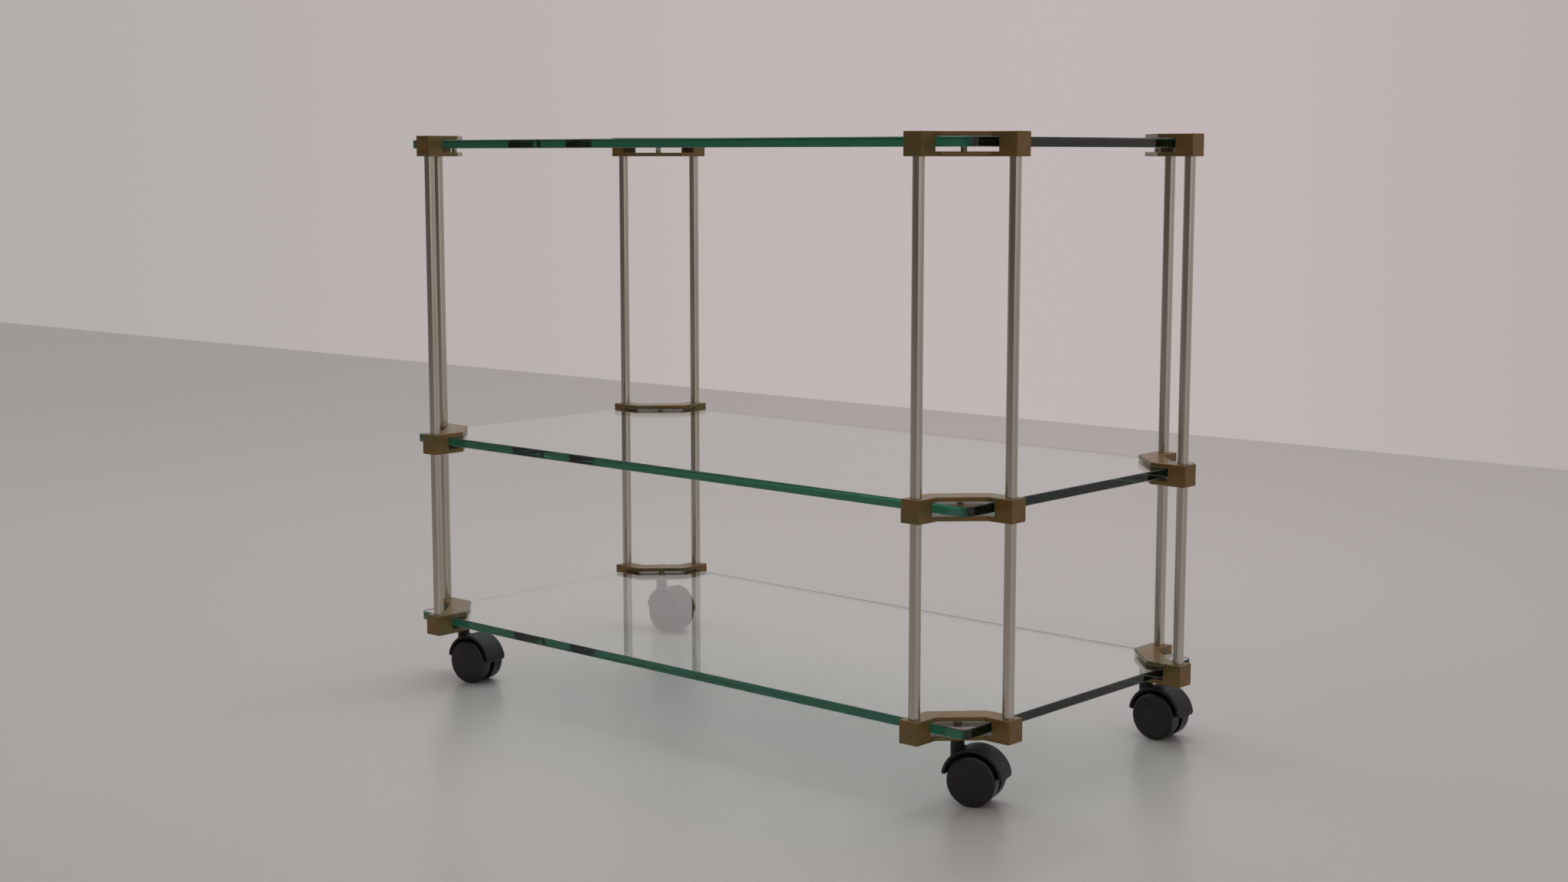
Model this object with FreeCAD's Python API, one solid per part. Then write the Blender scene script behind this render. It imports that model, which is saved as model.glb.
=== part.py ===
import FreeCAD, Part
import math
import os

# Three-tier dessert trolley.  Plate-glass shelves are gripped at their corners by cast brackets,
# the brackets stand on round posts, and the lowest ones on twin-wheel casters.
#
# Frame: X along the long side, Y along the depth with the front edge at -Y, +Z up.
# Origin: on the floor, under the middle of the shelves.  All sizes are in millimetres.

# ---------------------------------------------------------------- shelves
SHELF_LENGTH = 850.0
SHELF_DEPTH = 422.0
GLASS_THICKNESS = 10.0
GLASS_CORNER_RADIUS = 9.0
GLASS_ARRIS = 0.7            # ground-off edge round both faces of the glass
BOTTOM_TO_MIDDLE = 222.6     # from one shelf's top face to the next one's
MIDDLE_TO_TOP = 357.4

# ---------------------------------------------------------------- posts
POST_DIAMETER = 12.0
POST_SETBACK = 53.0          # from the glass corner to the post, along the glass edge
POST_OUTSET = 13.5           # from the glass edge out to the post's axis
POST_FIT = 0.05              # radial clearance of a post in its bracket
POST_CHAMFER = 0.6

# ---------------------------------------------------------------- corner bracket
BLOCK_WIDTH = 23.0           # each post block, along the glass edge, centred on its post
BLOCK_OUTER_WALL = 4.0       # metal left outside the post
BRIDGE_FRONT = 34.0          # from the glass corner to the bridge, along the corner's bisector
BRIDGE_WIDTH = 26.0
UPPER_JAW = 4.4              # thickness of the metal over the glass
LOWER_JAW = 4.8              # thickness of the metal under the glass
CLAMP_GAP = 4.5              # free height between the glass and the lower jaw
EDGE_GAP = 2.0               # from the glass edge to the wall of the slot
CAP_THICKNESS = 5.0          # metal that closes a post socket in the top and bottom brackets
CAST_RADIUS = 1.0            # soft outer edges of the casting
SLOT_RADIUS = 0.5            # soft edges round the mouth of the slot

# ---------------------------------------------------------------- pads and screws
JAW_PAD_THICKNESS = 0.7      # clear pad between the glass and the upper jaw
JAW_PAD_MARGIN = 1.5         # how far the pad keeps inside the bracket's outline
SCREW_INSET = 37.5           # clamp screw and caster stem, from both edges of the glass
SCREW_DIAMETER = 6.5
SCREW_FIT = 0.05             # radial clearance of a screw in its hole
SCREW_PAD_THICKNESS = 1.0    # soft tip between a screw and the glass
SOCKET_WIDTH = 3.0           # hexagon socket of the clamp screws, across the flats
SOCKET_DEPTH = 2.6
GRUB_DIAMETER = 5.0          # screw from the slot's wall against the post
GRUB_RECESS = 0.3            # how far it lies below the wall of the slot
GRUB_SOCKET_WIDTH = 2.5
GRUB_SOCKET_DEPTH = 2.4

# ---------------------------------------------------------------- casters
CASTER_HEIGHT = 66.9         # floor to the underside of the bracket
WHEEL_DIAMETER = 52.0
CASTER_WIDTH = 41.0          # across the outer faces of both wheels
CASTER_TRAIL = 20.5          # from the stem's axis to the axle
WHEEL_EDGE_RADIUS = 3.5      # rounding between the tread and the outer face
WHEEL_INNER_RADIUS = 1.0     # rounding between the tread and the inner face
WHEEL_CROWN = 0.9            # how far the outer face bulges at its middle
WHEEL_FACE = 3.5             # thickness left between the recess and the outer face
WHEEL_RIM = 4.0              # thickness of the tread ring
WHEEL_HUB_DIAMETER = 13.0
WHEEL_GAP = 0.5              # between a wheel and the housing's web
WEB_THICKNESS = 6.0
WEB_BOSS_DIAMETER = 15.0
HOOD_RADIUS = 32.9           # outside, about the axle
HOOD_THICKNESS = 3.0
HOOD_SETBACK = 4.5           # from a wheel's outer face in to the hood's side
HOOD_TRAILING_ANGLE = 4.0    # where the hood ends behind, from the horizontal through the axle
HOOD_LEADING_ANGLE = 174.0   # where it ends under the stem
HOOD_CORNER_RADIUS = 5.0     # rounding of its four corners, seen square on
HOOD_EDGE_RADIUS = 1.2
NECK_DIAMETER = 14.2
NECK_FILLET = 3.0
AXLE_DIAMETER = 6.0
AXLE_FIT = 0.05              # radial clearance of a wheel on the axle
AXLE_END_GAP = 0.3
STEM_DIAMETER = 8.0
STEM_FIT = 0.05              # radial clearance of the stem in the neck and in the jaw
STEM_SOCKET_DEPTH = 13.0     # depth of the stem's bearing in the neck
WASHER_DIAMETER = 15.0
WASHER_THICKNESS = 1.0
WASHER_FIT = 0.1             # running gap between the washer and the neck
GROOVE_WIDTH = 2.0           # ring groove that keeps a wheel or a housing on its pin
GROOVE_DEPTH = 0.5
GROOVE_GAP = 0.1             # clearance of the snap ridge in the groove, all round
GROOVE_SETBACK = 3.0         # from the pin's end to the groove

# How far each caster has swung at rest: the direction in which its axle trails, from +X.
TRAIL_ANGLE = {
    "front_left": 9.1,
    "front_right": 17.7,
    "back_right": 1.4,
    "back_left": -5.0,
}

# ---------------------------------------------------------------- worked out from these
POST_RADIUS = POST_DIAMETER / 2
BRACKET_RISE = JAW_PAD_THICKNESS + UPPER_JAW          # above the shelf's top face
SLOT_DEPTH = GLASS_THICKNESS + CLAMP_GAP              # from the shelf's top face down
BRACKET_DROP = SLOT_DEPTH + LOWER_JAW
BLOCK_OUTSET = POST_OUTSET + POST_RADIUS + BLOCK_OUTER_WALL
SHELF_HEIGHT = {"bottom": CASTER_HEIGHT + BRACKET_DROP}
SHELF_HEIGHT["middle"] = SHELF_HEIGHT["bottom"] + BOTTOM_TO_MIDDLE
SHELF_HEIGHT["top"] = SHELF_HEIGHT["middle"] + MIDDLE_TO_TOP
WHEEL_RADIUS = WHEEL_DIAMETER / 2
HOOD_HALF_WIDTH = CASTER_WIDTH / 2 - HOOD_SETBACK
HOOD_INNER_RADIUS = HOOD_RADIUS - HOOD_THICKNESS
HOOD_MIDDLE_RADIUS = HOOD_RADIUS - HOOD_THICKNESS / 2 # inside the hood's wall, where the web ends
NECK_TOP = CASTER_HEIGHT - WASHER_THICKNESS - WASHER_FIT
AXLE_HALF_LENGTH = CASTER_WIDTH / 2 - WHEEL_FACE - AXLE_END_GAP

# Each corner: where the glass corner is, and how far a bracket made for the first one is turned.
CORNERS = {
    "front_left": (-SHELF_LENGTH / 2, -SHELF_DEPTH / 2, 0.0),
    "front_right": (SHELF_LENGTH / 2, -SHELF_DEPTH / 2, 90.0),
    "back_right": (SHELF_LENGTH / 2, SHELF_DEPTH / 2, 180.0),
    "back_left": (-SHELF_LENGTH / 2, SHELF_DEPTH / 2, 270.0),
}

SAME_PLACE = 0.01            # two points closer than this are one
X_AXIS = FreeCAD.Vector(1, 0, 0)
Y_AXIS = FreeCAD.Vector(0, 1, 0)
Z_AXIS = FreeCAD.Vector(0, 0, 1)
ORIGIN = FreeCAD.Vector(0, 0, 0)


# ---------------------------------------------------------------- helpers
def vec(x, y, z=0.0):
    return FreeCAD.Vector(x, y, z)


def prism(points, bottom, top):
    """A closed outline of (x, y) points, raised from bottom to top."""
    corners = [vec(x, y, bottom) for x, y in points]
    wire = Part.makePolygon(corners + corners[:1])
    return Part.Face(wire).extrude(vec(0, 0, top - bottom))


def cylinder(radius, bottom, top, x=0.0, y=0.0):
    """An upright cylinder from bottom to top."""
    return Part.makeCylinder(radius, top - bottom, vec(x, y, bottom), Z_AXIS)


def hexagon_socket(width, bottom, top, x=0.0, y=0.0):
    """An upright hexagonal hole, given its width across the flats."""
    reach = width / math.sqrt(3)
    points = []
    for step in range(6):
        turn = math.radians(60 * step)
        points.append((x + reach * math.cos(turn), y + reach * math.sin(turn)))
    return prism(points, bottom, top)


def turned(profile):
    """Revolve a closed profile of (radius, height) points about Z."""
    corners = [vec(radius, 0, height) for radius, height in profile]
    wire = Part.makePolygon(corners + corners[:1])
    return Part.Face(wire).revolve(ORIGIN, Z_AXIS, 360)


def grooved_pin(radius, bottom, top, groove_bottom, groove_top, groove_depth):
    """An upright pin with one ring groove round it."""
    neck = radius - groove_depth
    return turned([
        (0, bottom), (radius, bottom), (radius, groove_bottom), (neck, groove_bottom),
        (neck, groove_top), (radius, groove_top), (radius, top), (0, top),
    ])


def at_corner(shape, corner, height=0.0):
    """Place a shape made at the origin's corner, which opens towards +X and +Y, at a shelf corner."""
    x, y, turn = CORNERS[corner]
    placed = shape.copy()
    placed.rotate(ORIGIN, Z_AXIS, turn)
    placed.translate(vec(x, y, height))
    return placed


def save(name, shape):
    shape.exportStep("parts/" + name + ".step")


# ---------------------------------------------------------------- shelves
def glass_shelf(top_face):
    """Plate glass with rounded corners and ground edges."""
    half_x = SHELF_LENGTH / 2
    half_y = SHELF_DEPTH / 2
    slab = Part.makeBox(SHELF_LENGTH, SHELF_DEPTH, GLASS_THICKNESS,
                        vec(-half_x, -half_y, top_face - GLASS_THICKNESS))
    upright = [edge for edge in slab.Edges if edge.BoundBox.ZLength > GLASS_THICKNESS / 2]
    slab = slab.makeFillet(GLASS_CORNER_RADIUS, upright)
    level = [edge for edge in slab.Edges if edge.BoundBox.ZLength < GLASS_THICKNESS / 2]
    return slab.makeChamfer(GLASS_ARRIS, level)


# ---------------------------------------------------------------- corner bracket
# The bracket is drawn at a glass corner at the origin, with the glass towards +X and +Y and its
# top face at Z = 0.  One post block stands on each glass edge, and the bridge joins them across
# the corner.
BLOCK_START = POST_SETBACK - BLOCK_WIDTH / 2
BLOCK_END = POST_SETBACK + BLOCK_WIDTH / 2
POST_PLACES = ((POST_SETBACK, -POST_OUTSET), (-POST_OUTSET, POST_SETBACK))


def bracket_outline(outset, margin=0.0):
    """The bracket's plan, drawn in by margin on its sides and ending at outset from the glass."""
    start = BLOCK_START + margin
    end = BLOCK_END - margin
    front = BRIDGE_FRONT * math.sqrt(2) + margin * math.sqrt(2)
    back = (BRIDGE_FRONT + BRIDGE_WIDTH) * math.sqrt(2) - margin * math.sqrt(2)
    return [
        (end, -outset), (start, -outset), (start, front - start), (front - start, start),
        (-outset, start), (-outset, end), (back - end, end), (end, back - end),
    ]


def slot_mouth_edges(shape):
    """The outer edges of the slot, on both jaws."""
    mouth = []
    for edge in shape.Edges:
        box = edge.BoundBox
        level = box.ZLength < SAME_PLACE
        from_jaw = min(abs(box.ZMin - JAW_PAD_THICKNESS), abs(box.ZMin + SLOT_DEPTH))
        on_slot = from_jaw < SAME_PLACE
        past_wall = min(box.XMin, box.YMin) > -EDGE_GAP - SAME_PLACE
        on_wall = min(box.XMax, box.YMax) < -EDGE_GAP + SAME_PLACE
        if level and on_slot and past_wall and not on_wall:
            mouth.append(edge)
    return mouth


def grub_hole(radius, depth_from, depth_to):
    """Two level holes, one from each slot wall to its post, at half the glass's thickness."""
    height = -GLASS_THICKNESS / 2
    length = depth_to - depth_from
    along_y = Part.makeCylinder(radius, length, vec(POST_SETBACK, -depth_from, height), -Y_AXIS)
    along_x = Part.makeCylinder(radius, length, vec(-depth_from, POST_SETBACK, height), -X_AXIS)
    return [along_y, along_x]


def bracket(level):
    """The cast bracket: blocks and bridge, slotted for the glass, bored for posts and screws."""
    body = prism(bracket_outline(BLOCK_OUTSET), -BRACKET_DROP, BRACKET_RISE)
    body = body.makeFillet(CAST_RADIUS, body.Edges)
    reach = BLOCK_END + EDGE_GAP + BLOCK_OUTSET
    slot = Part.makeBox(reach, reach, SLOT_DEPTH + JAW_PAD_THICKNESS,
                        vec(-EDGE_GAP, -EDGE_GAP, -SLOT_DEPTH))
    body = body.cut(slot)
    body = body.makeFillet(SLOT_RADIUS, slot_mouth_edges(body))
    bore_bottom = -BRACKET_DROP
    bore_top = BRACKET_RISE
    if level == "bottom":
        bore_bottom += CAP_THICKNESS
    if level == "top":
        bore_top -= CAP_THICKNESS
    holes = [cylinder(POST_RADIUS + POST_FIT, bore_bottom, bore_top, x, y) for x, y in POST_PLACES]
    if level == "bottom":
        screw_radius = STEM_DIAMETER / 2 + STEM_FIT
    else:
        screw_radius = SCREW_DIAMETER / 2 + SCREW_FIT
    holes.append(cylinder(screw_radius, -BRACKET_DROP, -SLOT_DEPTH, SCREW_INSET, SCREW_INSET))
    holes += grub_hole(GRUB_DIAMETER / 2 + SCREW_FIT, EDGE_GAP, POST_OUTSET)
    return body.cut(holes)


def jaw_pad():
    """Clear pad that lies on the glass under the upper jaw."""
    return prism(bracket_outline(-JAW_PAD_MARGIN, JAW_PAD_MARGIN), 0, JAW_PAD_THICKNESS)


def clamp_screw():
    """Headless screw in the lower jaw, with a hexagon socket below."""
    tip = -GLASS_THICKNESS - SCREW_PAD_THICKNESS
    screw = cylinder(SCREW_DIAMETER / 2, -BRACKET_DROP, tip, SCREW_INSET, SCREW_INSET)
    socket = hexagon_socket(SOCKET_WIDTH, -BRACKET_DROP, -BRACKET_DROP + SOCKET_DEPTH,
                            SCREW_INSET, SCREW_INSET)
    return screw.cut(socket)


def screw_pad(diameter):
    """Soft tip between a screw's end and the underside of the glass."""
    return cylinder(diameter / 2, -GLASS_THICKNESS - SCREW_PAD_THICKNESS, -GLASS_THICKNESS,
                    SCREW_INSET, SCREW_INSET)


def grub_screws():
    """Two screws that bear on the posts, each with a hexagon socket towards the glass."""
    outer = POST_OUTSET - POST_RADIUS
    inner = EDGE_GAP + GRUB_RECESS
    socket = hexagon_socket(GRUB_SOCKET_WIDTH, 0, GRUB_SOCKET_DEPTH)
    screws = grub_hole(GRUB_DIAMETER / 2, inner, outer)
    along_y = socket.copy()
    along_y.rotate(ORIGIN, X_AXIS, 90)
    along_y.translate(vec(POST_SETBACK, -inner, -GLASS_THICKNESS / 2))
    along_x = socket.copy()
    along_x.rotate(ORIGIN, Y_AXIS, -90)
    along_x.translate(vec(-inner, POST_SETBACK, -GLASS_THICKNESS / 2))
    return [screws[0].cut(along_y), screws[1].cut(along_x)]


# ---------------------------------------------------------------- posts
def post(x, y):
    """A post from its socket in the bottom bracket to its socket in the top bracket."""
    bottom = SHELF_HEIGHT["bottom"] - BRACKET_DROP + CAP_THICKNESS
    top = SHELF_HEIGHT["top"] + BRACKET_RISE - CAP_THICKNESS
    rod = cylinder(POST_RADIUS, bottom, top, x, y)
    ends = [edge for edge in rod.Edges if edge.BoundBox.ZLength < SAME_PLACE]
    return rod.makeChamfer(POST_CHAMFER, ends)


# ---------------------------------------------------------------- casters
# A caster is drawn with its stem upright at the origin and its axle trailing towards +X, level
# along Y.
def level_pin(pin, y_sign=1):
    """Turn a pin made along Z into one along the axle, at the axle's height."""
    placed = pin.copy()
    placed.rotate(ORIGIN, X_AXIS, -90 * y_sign)
    placed.translate(vec(CASTER_TRAIL, 0, WHEEL_RADIUS))
    return placed


def sector(outer, inner, half_width):
    """Part of a ring about the axle, from the hood's trailing end to its leading end."""
    start = math.radians(HOOD_TRAILING_ANGLE)
    finish = math.radians(HOOD_LEADING_ANGLE)
    middle = (start + finish) / 2

    def point(radius, angle):
        return vec(CASTER_TRAIL + radius * math.cos(angle), -half_width,
                   WHEEL_RADIUS + radius * math.sin(angle))

    edges = [Part.Arc(point(outer, start), point(outer, middle), point(outer, finish)).toShape()]
    if inner > 0:
        edges.append(Part.makeLine(point(outer, finish), point(inner, finish)))
        edges.append(Part.Arc(point(inner, finish), point(inner, middle),
                              point(inner, start)).toShape())
        edges.append(Part.makeLine(point(inner, start), point(outer, start)))
    else:
        edges.append(Part.makeLine(point(outer, finish), point(0, 0)))
        edges.append(Part.makeLine(point(0, 0), point(outer, start)))
    return Part.Face(Part.Wire(edges)).extrude(vec(0, 2 * half_width, 0))


def about_axle(radius, half_width):
    """A cylinder about the axle."""
    return Part.makeCylinder(radius, 2 * half_width, vec(CASTER_TRAIL, -half_width, WHEEL_RADIUS),
                             Y_AXIS)


def on_surface(edge, distance, radius):
    """Whether an edge lies at one radius all along, by a function that gives a point's distance."""
    for share in (0.1, 0.5, 0.9):
        span = edge.LastParameter - edge.FirstParameter
        point = edge.valueAt(edge.FirstParameter + share * span)
        if abs(distance(point) - radius) > SAME_PLACE:
            return False
    return True


def from_axle(point):
    return math.hypot(point.x - CASTER_TRAIL, point.z - WHEEL_RADIUS)


def from_stem(point):
    return math.hypot(point.x, point.y)


def hood_with_neck():
    """The arched hood over both wheels, with the neck that holds the stem."""
    hood = sector(HOOD_RADIUS, HOOD_INNER_RADIUS, HOOD_HALF_WIDTH)
    corners = [edge for edge in hood.Edges
               if edge.BoundBox.YLength < SAME_PLACE and abs(edge.Length - HOOD_THICKNESS) < SAME_PLACE]
    hood = hood.makeFillet(HOOD_CORNER_RADIUS, corners)
    rims = [edge for edge in hood.Edges
            if edge.BoundBox.YLength < SAME_PLACE and on_surface(edge, from_axle, HOOD_RADIUS)]
    hood = hood.makeFillet(HOOD_EDGE_RADIUS, rims)
    neck = cylinder(NECK_DIAMETER / 2, WHEEL_RADIUS, NECK_TOP)
    neck = neck.cut(about_axle(HOOD_MIDDLE_RADIUS, CASTER_WIDTH))
    shell = hood.fuse(neck).removeSplitter()
    joint = [edge for edge in shell.Edges
             if on_surface(edge, from_axle, HOOD_RADIUS)
             and on_surface(edge, from_stem, NECK_DIAMETER / 2)]
    return shell.makeFillet(NECK_FILLET, joint)


def caster_housing():
    """Hood, neck and the web between the wheels that holds the axle."""
    web = sector(HOOD_MIDDLE_RADIUS, 0, WEB_THICKNESS / 2)
    boss = about_axle(WEB_BOSS_DIAMETER / 2, WEB_THICKNESS / 2)
    body = hood_with_neck().fuse([web, boss]).removeSplitter()
    socket_bottom = NECK_TOP - STEM_SOCKET_DEPTH
    ridge_bottom = socket_bottom + AXLE_END_GAP + GROOVE_SETBACK + GROOVE_GAP
    ridge_top = ridge_bottom + GROOVE_WIDTH - 2 * GROOVE_GAP
    socket = grooved_pin(STEM_DIAMETER / 2 + STEM_FIT, socket_bottom, NECK_TOP,
                         ridge_bottom, ridge_top, GROOVE_DEPTH - GROOVE_GAP + STEM_FIT)
    return body.cut([socket, about_axle(AXLE_DIAMETER / 2, WEB_THICKNESS)])


def caster_axle():
    """Steel pin, with a ring groove near each end."""
    half = AXLE_HALF_LENGTH
    groove_top = half - GROOVE_SETBACK
    end = grooved_pin(AXLE_DIAMETER / 2, 0, half, groove_top - GROOVE_WIDTH, groove_top,
                      GROOVE_DEPTH)
    return level_pin(end, 1).fuse(level_pin(end, -1)).removeSplitter()


def caster_wheel(side):
    """Moulded wheel: crowned outer face, rounded tread, recess and blind hub on the inside."""
    inner = WEB_THICKNESS / 2 + WHEEL_GAP
    outer = CASTER_WIDTH / 2
    rim = outer - WHEEL_CROWN
    radius = WHEEL_RADIUS
    edge = WHEEL_EDGE_RADIUS
    back = WHEEL_INNER_RADIUS
    soft = math.sqrt(0.5)

    def point(r, height):
        return vec(r, 0, height)

    # The crown is part of a sphere about a point on the axle.
    flat = radius - edge
    sphere = (flat ** 2 + WHEEL_CROWN ** 2) / (2 * WHEEL_CROWN)
    crown_middle = flat / 2
    crown_height = outer - sphere + math.sqrt(sphere ** 2 - crown_middle ** 2)
    edges = [
        Part.makeLine(point(0, inner), point(radius - back, inner)),
        Part.Arc(point(radius - back, inner),
                 point(radius - back * (1 - soft), inner + back * (1 - soft)),
                 point(radius, inner + back)).toShape(),
        Part.makeLine(point(radius, inner + back), point(radius, rim - edge)),
        Part.Arc(point(radius, rim - edge),
                 point(radius - edge * (1 - soft), rim - edge * (1 - soft)),
                 point(flat, rim)).toShape(),
        Part.Arc(point(flat, rim), point(crown_middle, crown_height),
                 point(0, outer)).toShape(),
        Part.makeLine(point(0, outer), point(0, inner)),
    ]
    body = Part.Face(Part.Wire(edges)).revolve(ORIGIN, Z_AXIS, 360)
    recess_top = rim - WHEEL_FACE
    recess = turned([
        (WHEEL_HUB_DIAMETER / 2, inner), (radius - WHEEL_RIM, inner),
        (radius - WHEEL_RIM, recess_top), (WHEEL_HUB_DIAMETER / 2, recess_top),
    ])
    groove_top = AXLE_HALF_LENGTH - GROOVE_SETBACK - GROOVE_GAP
    groove_bottom = AXLE_HALF_LENGTH - GROOVE_SETBACK - GROOVE_WIDTH + GROOVE_GAP
    bore = grooved_pin(AXLE_DIAMETER / 2 + AXLE_FIT, inner, AXLE_HALF_LENGTH + AXLE_END_GAP,
                       groove_bottom, groove_top, GROOVE_DEPTH - GROOVE_GAP + AXLE_FIT)
    return level_pin(body.cut([recess, bore]), side)


def caster_stem():
    """Threaded above in the bracket's lower jaw, with the swivel bearing and its groove below."""
    bottom = NECK_TOP - STEM_SOCKET_DEPTH + AXLE_END_GAP
    top = SHELF_HEIGHT["bottom"] - GLASS_THICKNESS - SCREW_PAD_THICKNESS
    return grooved_pin(STEM_DIAMETER / 2, bottom, top, bottom + GROOVE_SETBACK,
                       bottom + GROOVE_SETBACK + GROOVE_WIDTH, GROOVE_DEPTH)


def thrust_washer():
    """Flat ring between the neck and the bracket."""
    bottom = CASTER_HEIGHT - WASHER_THICKNESS
    ring = cylinder(WASHER_DIAMETER / 2, bottom, CASTER_HEIGHT)
    return ring.cut(cylinder(STEM_DIAMETER / 2 + STEM_FIT, bottom, CASTER_HEIGHT))


def under_corner(shape, corner, swivel=0.0):
    """Place a caster piece at its stem, turned about the stem."""
    x, y, turn = CORNERS[corner]
    angle = math.radians(turn)
    stem_x = x + SCREW_INSET * (math.cos(angle) - math.sin(angle))
    stem_y = y + SCREW_INSET * (math.sin(angle) + math.cos(angle))
    placed = shape.copy()
    placed.rotate(ORIGIN, Z_AXIS, swivel)
    placed.translate(vec(stem_x, stem_y, 0))
    return placed


# ---------------------------------------------------------------- the whole trolley
def save_shelves():
    for level, height in SHELF_HEIGHT.items():
        save("shelf_glass_" + level, glass_shelf(height))


def save_brackets():
    for level, height in SHELF_HEIGHT.items():
        casting = bracket(level)
        for corner in CORNERS:
            save("bracket_" + level + "_" + corner, at_corner(casting, corner, height))


def save_pads_and_screws():
    for level, height in SHELF_HEIGHT.items():
        jaw_pads = []
        tips = []
        clamps = []
        grubs = []
        for corner in CORNERS:
            jaw_pads.append(at_corner(jaw_pad(), corner, height))
            tip_diameter = STEM_DIAMETER if level == "bottom" else SCREW_DIAMETER
            tips.append(at_corner(screw_pad(tip_diameter), corner, height))
            clamps.append(at_corner(clamp_screw(), corner, height))
            grubs += [at_corner(grub, corner, height) for grub in grub_screws()]
        save("jaw_pads_" + level, Part.makeCompound(jaw_pads))
        save("screw_tips_" + level, Part.makeCompound(tips))
        save("grub_screws_" + level, Part.makeCompound(grubs))
        if level != "bottom":
            save("clamp_screws_" + level, Part.makeCompound(clamps))


def save_posts():
    """Two posts at each corner, named for the shelf edge that each stands on."""
    for corner in CORNERS:
        quarter_turns = round(CORNERS[corner][2] / 90)
        for place, (x, y) in enumerate(POST_PLACES):
            on_long_edge = (place + quarter_turns) % 2 == 0
            edge = "long" if on_long_edge else "short"
            save("post_" + corner + "_" + edge, at_corner(post(x, y), corner))


def save_casters():
    housing = caster_housing()
    axle = caster_axle()
    wheels = {"a": caster_wheel(1), "b": caster_wheel(-1)}
    washers = []
    for corner in CORNERS:
        swivel = TRAIL_ANGLE[corner]
        save("caster_stem_" + corner, under_corner(caster_stem(), corner))
        save("caster_housing_" + corner, under_corner(housing, corner, swivel))
        save("caster_axle_" + corner, under_corner(axle, corner, swivel))
        for side, wheel in wheels.items():
            save("caster_wheel_" + corner + "_" + side, under_corner(wheel, corner, swivel))
        washers.append(under_corner(thrust_washer(), corner))
    save("thrust_washers", Part.makeCompound(washers))


os.makedirs("parts", exist_ok=True)
save_shelves()
save_brackets()
save_pads_and_screws()
save_posts()
save_casters()
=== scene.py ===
import math

import bpy
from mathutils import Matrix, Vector

# A three-tier dessert trolley in a pale studio: plate-glass shelves in patinated cast brackets,
# satin posts and black twin-wheel casters.  Lengths are in metres, in the frame of the model.

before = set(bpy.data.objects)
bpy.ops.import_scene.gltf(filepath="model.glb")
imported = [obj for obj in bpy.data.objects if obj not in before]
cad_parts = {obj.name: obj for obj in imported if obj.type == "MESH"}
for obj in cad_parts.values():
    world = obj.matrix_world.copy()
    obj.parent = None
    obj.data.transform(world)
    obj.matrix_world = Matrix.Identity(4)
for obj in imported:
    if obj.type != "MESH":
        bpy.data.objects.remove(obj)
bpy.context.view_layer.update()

# ---------------------------------------------------------------- camera
CAMERA_PLACE = (1.68238, -1.86764, 0.64711)
CAMERA_YAW = 42.10456          # degrees, turned from +Y towards -X
CAMERA_PITCH = -7.504          # degrees, below the level
CAMERA_LENS = 49.644           # mm, on a sensor 36 mm wide
CAMERA_SENSOR = 36.0

# ---------------------------------------------------------------- studio
WALL_LINE_LEFT = (-5.762, 2.378)      # where the back wall meets the floor
WALL_LINE_RIGHT = (-0.091, 2.526)
FLOOR_REACH_SIDE = 14.0
FLOOR_REACH_FRONT = 5.0
FLOOR_PAINTED_SHADE_MIDDLE = (-0.2, 0.4, 0)       # round this place the floor is painted darkest, a painted shade under the trolley
LAMP_PLACE = (-0.5, 0.7, 3.0)
LAMP_LENGTH = 2.0
LAMP_WIDTH = 1.0
LAMP_POWER = 33.0              # W
RIGHT_IN_PICTURE = (0.742, 0.670, 0)
WINDOW_TURN = 38.3             # degrees from -Y towards -X, of a far window behind the camera
WINDOW_RISE = 10.3             # degrees above the level
WINDOW_RADIUS = 2.7            # degrees
WINDOW_EDGE = 0.6              # degrees over which it fades
WINDOW_WHITE_TO = 0.2          # degrees aside of its middle, where the white ends
WINDOW_VIOLET_FROM = 1.2       # degrees aside, where the violet is full
WINDOW_WHITE = (6.0, 6.0, 5.8, 1)
WINDOW_VIOLET = (2.3, 1.1, 6.0, 1)
WINDOW_BOUNCES = 4.5           # a path that has met more faces no longer sees it


def srgb(red, green, blue):
    """A screen colour, 0 to 255, as the linear colour that a shader takes."""
    linear = []
    for value in (red, green, blue):
        share = value / 255
        if share <= 0.04045:
            linear.append(share / 12.92)
        else:
            linear.append(((share + 0.055) / 1.055) ** 2.4)
    return (*linear, 1.0)


# ---------------------------------------------------------------- colours and finishes
GLASS_IOR = 1.52
GLASS_TINT = (0.0, 0.49, 0.35, 1.0)
GLASS_TINT_DENSITY = 8.3       # per metre
GLASS_SHADOW = (0.80, 0.805, 0.805, 1.0)
ARRIS_ROUGHNESS = 0.35         # of the narrow ground edges
BRONZE_BROWN = srgb(123, 91, 45)
BRONZE_OLIVE = srgb(107, 94, 53)
BRONZE_STAIN = srgb(70, 59, 40)
BRONZE_METALLIC = 0.2
NICKEL_DULL = srgb(193, 185, 174)
NICKEL_BRIGHT = srgb(204, 197, 188)
STEEL_DARK = srgb(150, 140, 116)
STEEL_LIGHT = srgb(170, 160, 138)
PAD_COLOUR = srgb(232, 235, 228)
NYLON_DARK = srgb(214, 212, 202)
NYLON_LIGHT = srgb(232, 230, 222)
WHEEL_BLACK = srgb(20, 20, 19)
WHEEL_DUST = srgb(36, 35, 33)
HOUSING_BLACK = srgb(24, 24, 23)
HOUSING_DUST = srgb(38, 37, 35)
PAINT_DARK = srgb(187, 183, 181)
PAINT_LIGHT = srgb(193, 189, 187)
# painted light: the floor colour far from the trolley, lighter than round its middle
PAINT_FAR_PAINTED_LIGHT = srgb(198, 194, 192)
WALL_LEFT = srgb(179, 174, 171)
WALL_MIDDLE = srgb(194, 183, 182)
WALL_RIGHT = srgb(181, 172, 168)
ROOM_DARK = (0.110, 0.092, 0.083, 1)
ROOM_BRIGHT = (0.62, 0.595, 0.555, 1)
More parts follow.
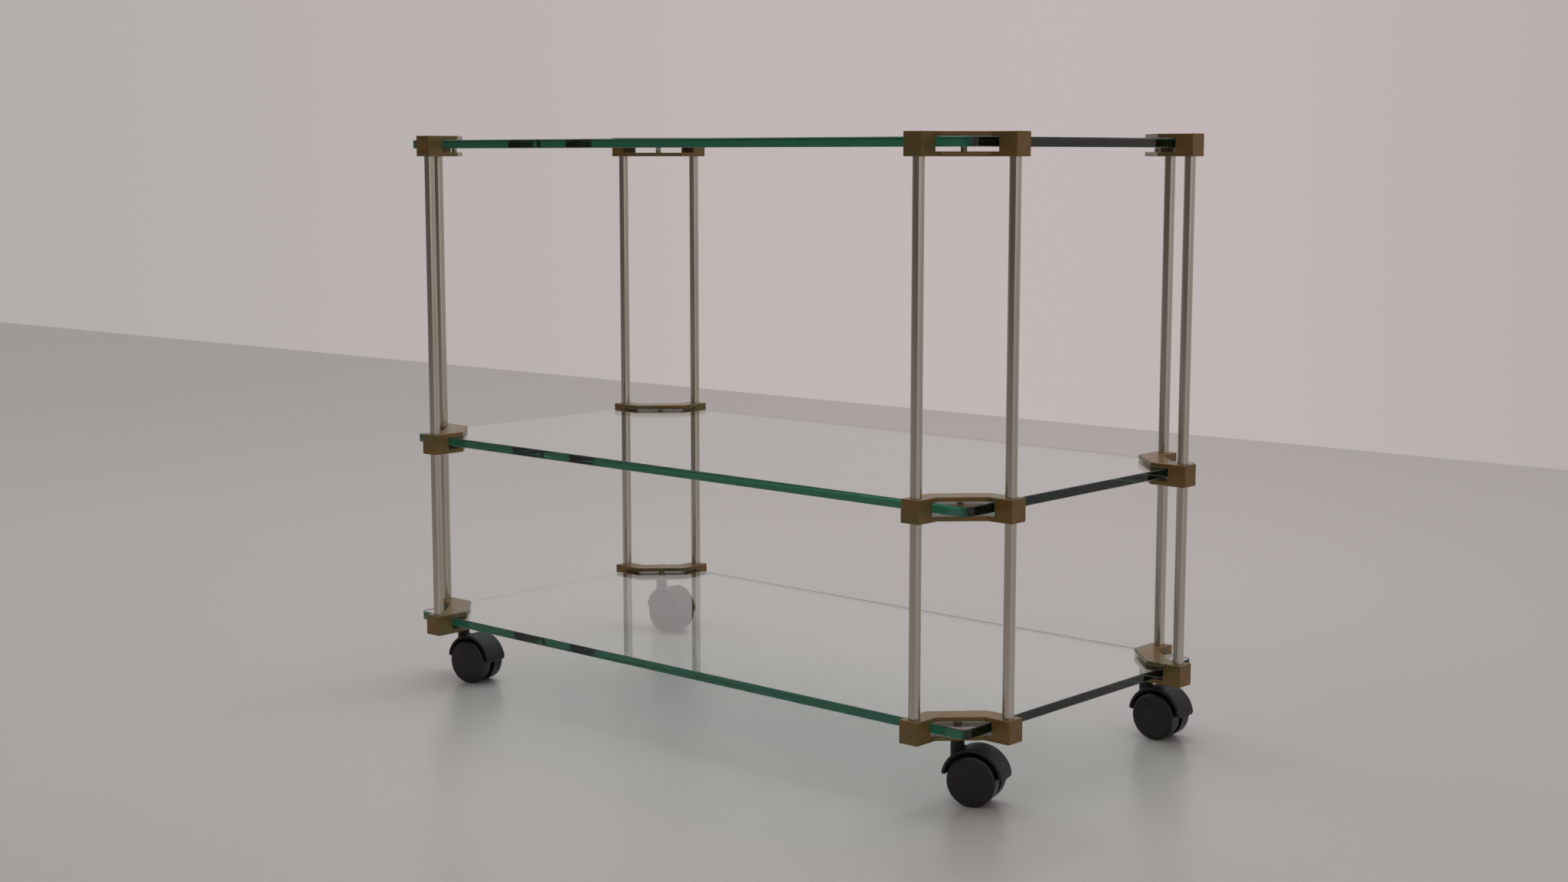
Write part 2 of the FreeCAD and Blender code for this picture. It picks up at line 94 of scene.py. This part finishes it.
CEILING = (0.50, 0.485, 0.475, 1)


# ---------------------------------------------------------------- shader helpers
class Nodes:
    """A short way to add nodes to one node tree and to join them."""

    def __init__(self, tree):
        self.tree = tree
        tree.nodes.clear()

    def add(self, kind, **settings):
        node = self.tree.nodes.new("ShaderNode" + kind)
        for name, value in settings.items():
            setattr(node, name, value)
        return node

    def join(self, output, socket):
        self.tree.links.new(output, socket)

    def set(self, socket, value):
        """Give a socket a number or colour, or link it to another node's output."""
        if isinstance(value, bpy.types.NodeSocket):
            self.join(value, socket)
        else:
            socket.default_value = value

    def maths(self, operation, first, second=0.0):
        node = self.add("Math", operation=operation)
        self.set(node.inputs[0], first)
        self.set(node.inputs[1], second)
        return node.outputs[0]

    def dot(self, vector, direction):
        node = self.add("VectorMath", operation="DOT_PRODUCT")
        self.set(node.inputs[0], vector)
        node.inputs[1].default_value = direction
        return node.outputs["Value"]

    def ease(self, value, low, high, first=0.0, last=1.0):
        """Goes smoothly from first to last while value goes from low to high."""
        node = self.add("MapRange", interpolation_type="SMOOTHSTEP")
        self.set(node.inputs["Value"], value)
        node.inputs["From Min"].default_value = low
        node.inputs["From Max"].default_value = high
        node.inputs["To Min"].default_value = first
        node.inputs["To Max"].default_value = last
        return node.outputs["Result"]

    def mix(self, share, first, second):
        """Mixes two colours, which are sockets 6 and 7 of the node, into its output 2."""
        node = self.add("Mix", data_type="RGBA")
        self.set(node.inputs["Factor"], share)
        self.set(node.inputs[6], first)
        self.set(node.inputs[7], second)
        return node.outputs[2]

    def place(self, stretch=(1.0, 1.0, 1.0)):
        """Positions on the piece in metres, stretched for a pattern with a grain."""
        coordinates = self.add("TexCoord")
        mapping = self.add("Mapping")
        mapping.inputs["Scale"].default_value = stretch
        self.join(coordinates.outputs["Object"], mapping.inputs["Vector"])
        return mapping.outputs["Vector"]

    def noise(self, place, scale, detail=3.0, roughness=0.5):
        node = self.add("TexNoise")
        self.join(place, node.inputs["Vector"])
        node.inputs["Scale"].default_value = scale
        node.inputs["Detail"].default_value = detail
        node.inputs["Roughness"].default_value = roughness
        return node.outputs["Fac"]

    def bump(self, height, distance, strength):
        node = self.add("Bump")
        node.inputs["Strength"].default_value = strength
        node.inputs["Distance"].default_value = distance
        self.join(height, node.inputs["Height"])
        return node.outputs["Normal"]

    def principled(self, **values):
        """A Principled shader; an argument's name is the socket's, with _ for each space."""
        shader = self.add("BsdfPrincipled")
        for name, value in values.items():
            self.set(shader.inputs[name.replace("_", " ")], value)
        return shader.outputs["BSDF"]

    def output(self, surface, volume=None):
        node = self.add("OutputMaterial")
        self.join(surface, node.inputs["Surface"])
        if volume is not None:
            self.join(volume, node.inputs["Volume"])


def material(name, build):
    """A new material whose node tree the function build fills in."""
    made = bpy.data.materials.new(name)
    made.use_nodes = True
    build(Nodes(made.node_tree))
    return made


# ---------------------------------------------------------------- materials
def plate_glass(n):
    """Greenish float glass, clear on its faces and ground dull on its narrow arrises."""
    geometry = n.add("NewGeometry")
    steep = n.maths("ABSOLUTE", n.dot(geometry.outputs["True Normal"], (0, 0, 1)))
    arris = n.maths("MULTIPLY", n.ease(steep, 0.2, 0.4), n.ease(steep, 0.8, 0.95, 1.0, 0.0))
    roughness = n.maths("MULTIPLY", arris, ARRIS_ROUGHNESS)
    glass = n.principled(Base_Color=(1, 1, 1, 1), Roughness=roughness, IOR=GLASS_IOR,
                         Transmission_Weight=1.0)
    through = n.add("BsdfTransparent")
    through.inputs["Color"].default_value = GLASS_SHADOW
    path = n.add("LightPath")
    either = n.add("MixShader")
    n.join(path.outputs["Is Shadow Ray"], either.inputs[0])
    n.join(glass, either.inputs[1])
    n.join(through.outputs[0], either.inputs[2])
    tint = n.add("VolumeAbsorption")
    tint.inputs["Color"].default_value = GLASS_TINT
    tint.inputs["Density"].default_value = GLASS_TINT_DENSITY
    n.output(either.outputs[0], tint.outputs[0])


def patinated_bronze(n):
    """Cast metal in clouds of orange-brown and olive, with darker stains."""
    place = n.place()
    cloud = n.noise(place, 30.0, 3.0, 0.55)
    stain = n.noise(place, 110.0, 3.0, 0.6)
    grain = n.noise(place, 900.0, 2.0, 0.5)
    clouded = n.mix(n.ease(cloud, 0.40, 0.60), BRONZE_BROWN, BRONZE_OLIVE)
    colour = n.mix(n.ease(stain, 0.50, 0.75, 0.0, 0.45), clouded, BRONZE_STAIN)
    roughness = n.ease(cloud, 0.3, 0.7, 0.34, 0.26)
    n.output(n.principled(Base_Color=colour, Metallic=BRONZE_METALLIC, Roughness=roughness,
                          Normal=n.bump(grain, 0.00004, 0.5)))


def satin_nickel(n):
    """Plated posts, satin and a little cloudy along their length."""
    cloud = n.noise(n.place((1.0, 1.0, 0.1)), 40.0, 2.0, 0.5)
    colour = n.mix(n.ease(cloud, 0.3, 0.7), NICKEL_DULL, NICKEL_BRIGHT)
    roughness = n.ease(cloud, 0.3, 0.7, 0.17, 0.23)
    n.output(n.principled(Base_Color=colour, Metallic=1.0, Roughness=roughness))


def bright_steel(n):
    """Turned screws, stems, axles and washers."""
    grain = n.noise(n.place(), 1500.0, 2.0, 0.6)
    colour = n.mix(grain, STEEL_DARK, STEEL_LIGHT)
    roughness = n.ease(grain, 0, 1, 0.25, 0.4)
    n.output(n.principled(Base_Color=colour, Metallic=1.0, Roughness=roughness))


def clear_pad(n):
    """Soft clear plastic, hazy from being pressed."""
    haze = n.noise(n.place(), 300.0, 3.0, 0.6)
    roughness = n.ease(haze, 0.2, 0.8, 0.2, 0.4)
    n.output(n.principled(Base_Color=PAD_COLOUR, IOR=1.45, Transmission_Weight=0.35,
                          Roughness=roughness))


def white_nylon(n):
    """The soft tips that bear on the glass."""
    haze = n.noise(n.place(), 700.0, 3.0, 0.6)
    colour = n.mix(haze, NYLON_DARK, NYLON_LIGHT)
    n.output(n.principled(Base_Color=colour, Roughness=0.4))


def moulded_plastic(n, colour, dusty, roughness):
    """Black nylon with a fine moulded grain and a little dust."""
    place = n.place()
    grain = n.noise(place, 1400.0, 2.0, 0.5)
    dust = n.noise(place, 90.0, 4.0, 0.65)
    mixed = n.mix(n.ease(dust, 0.5, 0.75), colour, dusty)
    duller = n.ease(dust, 0.3, 0.8, roughness, roughness + 0.15)
    n.output(n.principled(Base_Color=mixed, Roughness=duller, Normal=n.bump(grain, 0.00003, 0.5)))


def wheel_plastic(n):
    moulded_plastic(n, WHEEL_BLACK, WHEEL_DUST, 0.32)


def housing_plastic(n):
    moulded_plastic(n, HOUSING_BLACK, HOUSING_DUST, 0.5)


FINISHES = {
    "shelf_glass": material("plate_glass", plate_glass),
    "bracket": material("patinated_bronze", patinated_bronze),
    "post": material("satin_nickel", satin_nickel),
    "jaw_pads": material("clear_pad", clear_pad),
    "screw_tips": material("white_nylon", white_nylon),
    "clamp_screws": material("bright_steel", bright_steel),
    "caster_wheel": material("wheel_plastic", wheel_plastic),
    "caster_housing": material("housing_plastic", housing_plastic),
}
FINISHES["grub_screws"] = FINISHES["clamp_screws"]
FINISHES["thrust_washers"] = FINISHES["clamp_screws"]
FINISHES["caster_stem"] = FINISHES["clamp_screws"]
FINISHES["caster_axle"] = FINISHES["clamp_screws"]


def finish_nodes():
    """Give each piece the finish that its name starts with."""
    for name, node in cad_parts.items():
        for start, finish in FINISHES.items():
            if name.startswith(start):
                node.data.materials.clear()
                node.data.materials.append(finish)


# ---------------------------------------------------------------- studio
def studio_floor():
    """A pale, slightly glossy floor that ends where the back wall stands."""
    x0, y0 = WALL_LINE_LEFT
    x1, y1 = WALL_LINE_RIGHT
    slope = (y1 - y0) / (x1 - x0)

    def wall_at(x):
        return y0 + slope * (x - x0)

    corners = [
        (-FLOOR_REACH_SIDE, -FLOOR_REACH_FRONT, 0), (FLOOR_REACH_SIDE, -FLOOR_REACH_FRONT, 0),
        (FLOOR_REACH_SIDE, wall_at(FLOOR_REACH_SIDE), 0),
        (-FLOOR_REACH_SIDE, wall_at(-FLOOR_REACH_SIDE), 0),
    ]
    mesh = bpy.data.meshes.new("studio_floor")
    mesh.from_pydata(corners, [], [(0, 1, 2, 3)])
    floor = bpy.data.objects.new("studio_floor", mesh)
    bpy.context.scene.collection.objects.link(floor)
    mesh.materials.append(material("studio_floor", floor_paint_and_painted_light))


def floor_paint_and_painted_light(n):
    """Pale grey paint in random clouds, with painted light: a little lighter away from the middle of
    the studio, and darker round it as painted shade.
    """
    place = n.place()
    cloud = n.noise(place, 1.3, 4.0, 0.6)
    # painted light: the floor is painted lighter with distance from the middle and darker round it,
    # as painted shade
    painted_light_distance = n.add("VectorMath", operation="DISTANCE")
    n.join(place, painted_light_distance.inputs[0])
    painted_light_distance.inputs[1].default_value = FLOOR_PAINTED_SHADE_MIDDLE
    pale = n.mix(cloud, PAINT_DARK, PAINT_LIGHT)
    colour = n.mix(n.ease(painted_light_distance.outputs["Value"], 1.0, 5.0), pale, PAINT_FAR_PAINTED_LIGHT)
    n.output(n.principled(Base_Color=colour, Roughness=0.26, IOR=1.4))


def turned(turn, rise):
    """A direction, from degrees turned from -Y towards -X and degrees above the level."""
    level = math.cos(math.radians(rise))
    return (-math.sin(math.radians(turn)) * level, -math.cos(math.radians(turn)) * level,
            math.sin(math.radians(rise)))


def far_window(n, direction, path):
    """Where the small window is that glints in the back edges of the plates, for refracted light."""
    inner = math.cos(math.radians(WINDOW_RADIUS - WINDOW_EDGE))
    outer = math.cos(math.radians(WINDOW_RADIUS + WINDOW_EDGE))
    near = n.ease(n.dot(direction, turned(WINDOW_TURN, WINDOW_RISE)), outer, inner)
    refracted = n.maths("MULTIPLY", near, path.outputs["Is Transmission Ray"])
    direct = n.maths("LESS_THAN", path.outputs["Ray Depth"], WINDOW_BOUNCES)
    return n.maths("MULTIPLY", refracted, direct)


def window_colour(n, direction):
    """White, and violet towards one side, as the plate's edge spreads the light's colours."""
    aside = n.dot(direction, turned(WINDOW_TURN - 90, 0))
    start = math.sin(math.radians(WINDOW_WHITE_TO))
    finish = math.sin(math.radians(WINDOW_VIOLET_FROM))
    return n.mix(n.ease(aside, start, finish), WINDOW_WHITE, WINDOW_VIOLET)


def studio_world():
    """A pale wall behind, light from above and from the right, and a dark room at the left."""
    world = bpy.data.worlds.new("studio")
    world.use_nodes = True
    bpy.context.scene.world = world
    n = Nodes(world.node_tree)
    direction = n.add("TexCoord").outputs["Generated"]
    height = n.dot(direction, (0, 0, 1))
    rightward = n.dot(direction, RIGHT_IN_PICTURE)
    backward = n.dot(direction, (0, 1, 0))
    brighter = n.mix(n.ease(rightward, -0.40, 0.12), WALL_LEFT, WALL_MIDDLE)
    wall = n.mix(n.ease(rightward, 0.12, 0.45), brighter, WALL_RIGHT)
    room = n.mix(n.ease(rightward, -0.05, 0.2), ROOM_DARK, ROOM_BRIGHT)
    around = n.mix(n.ease(backward, -0.15, 0.1), room, wall)
    whole = n.mix(n.ease(height, 0.15, 0.6), around, CEILING)
    path = n.add("LightPath")
    lit = n.mix(far_window(n, direction, path), whole, window_colour(n, direction))
    seen = n.mix(path.outputs["Is Camera Ray"], lit, wall)
    background = n.add("Background")
    n.join(seen, background.inputs["Color"])
    out = n.add("OutputWorld")
    n.join(background.outputs[0], out.inputs["Surface"])


def ceiling_light():
    """A soft lamp overhead; the plates pass its light on as shadow rays only."""
    lamp = bpy.data.lights.new("ceiling_light", "AREA")
    lamp.shape = "RECTANGLE"
    lamp.size = LAMP_LENGTH
    lamp.size_y = LAMP_WIDTH
    lamp.energy = LAMP_POWER
    light = bpy.data.objects.new("ceiling_light", lamp)
    bpy.context.scene.collection.objects.link(light)
    light.location = LAMP_PLACE
    aim = Vector((0, 0, 0)) - light.location
    light.rotation_euler = aim.to_track_quat("-Z", "Y").to_euler()
    light.visible_transmission = False


def photo_camera():
    camera = bpy.data.cameras.new("camera")
    camera.lens = CAMERA_LENS
    camera.sensor_width = CAMERA_SENSOR
    camera.sensor_fit = "HORIZONTAL"
    view = bpy.data.objects.new("camera", camera)
    bpy.context.scene.collection.objects.link(view)
    view.location = CAMERA_PLACE
    view.rotation_euler = (math.radians(90 + CAMERA_PITCH), 0, math.radians(CAMERA_YAW))
    bpy.context.scene.camera = view


def picture_settings():
    """Plain colours, and enough bounces for light that runs along inside the plate glass."""
    scene = bpy.context.scene
    scene.view_settings.view_transform = "Standard"
    scene.cycles.max_bounces = 40
    scene.cycles.transmission_bounces = 32
    scene.cycles.glossy_bounces = 32
    scene.cycles.transparent_max_bounces = 32
    scene.cycles.caustics_reflective = False


finish_nodes()
studio_floor()
studio_world()
ceiling_light()
photo_camera()
picture_settings()
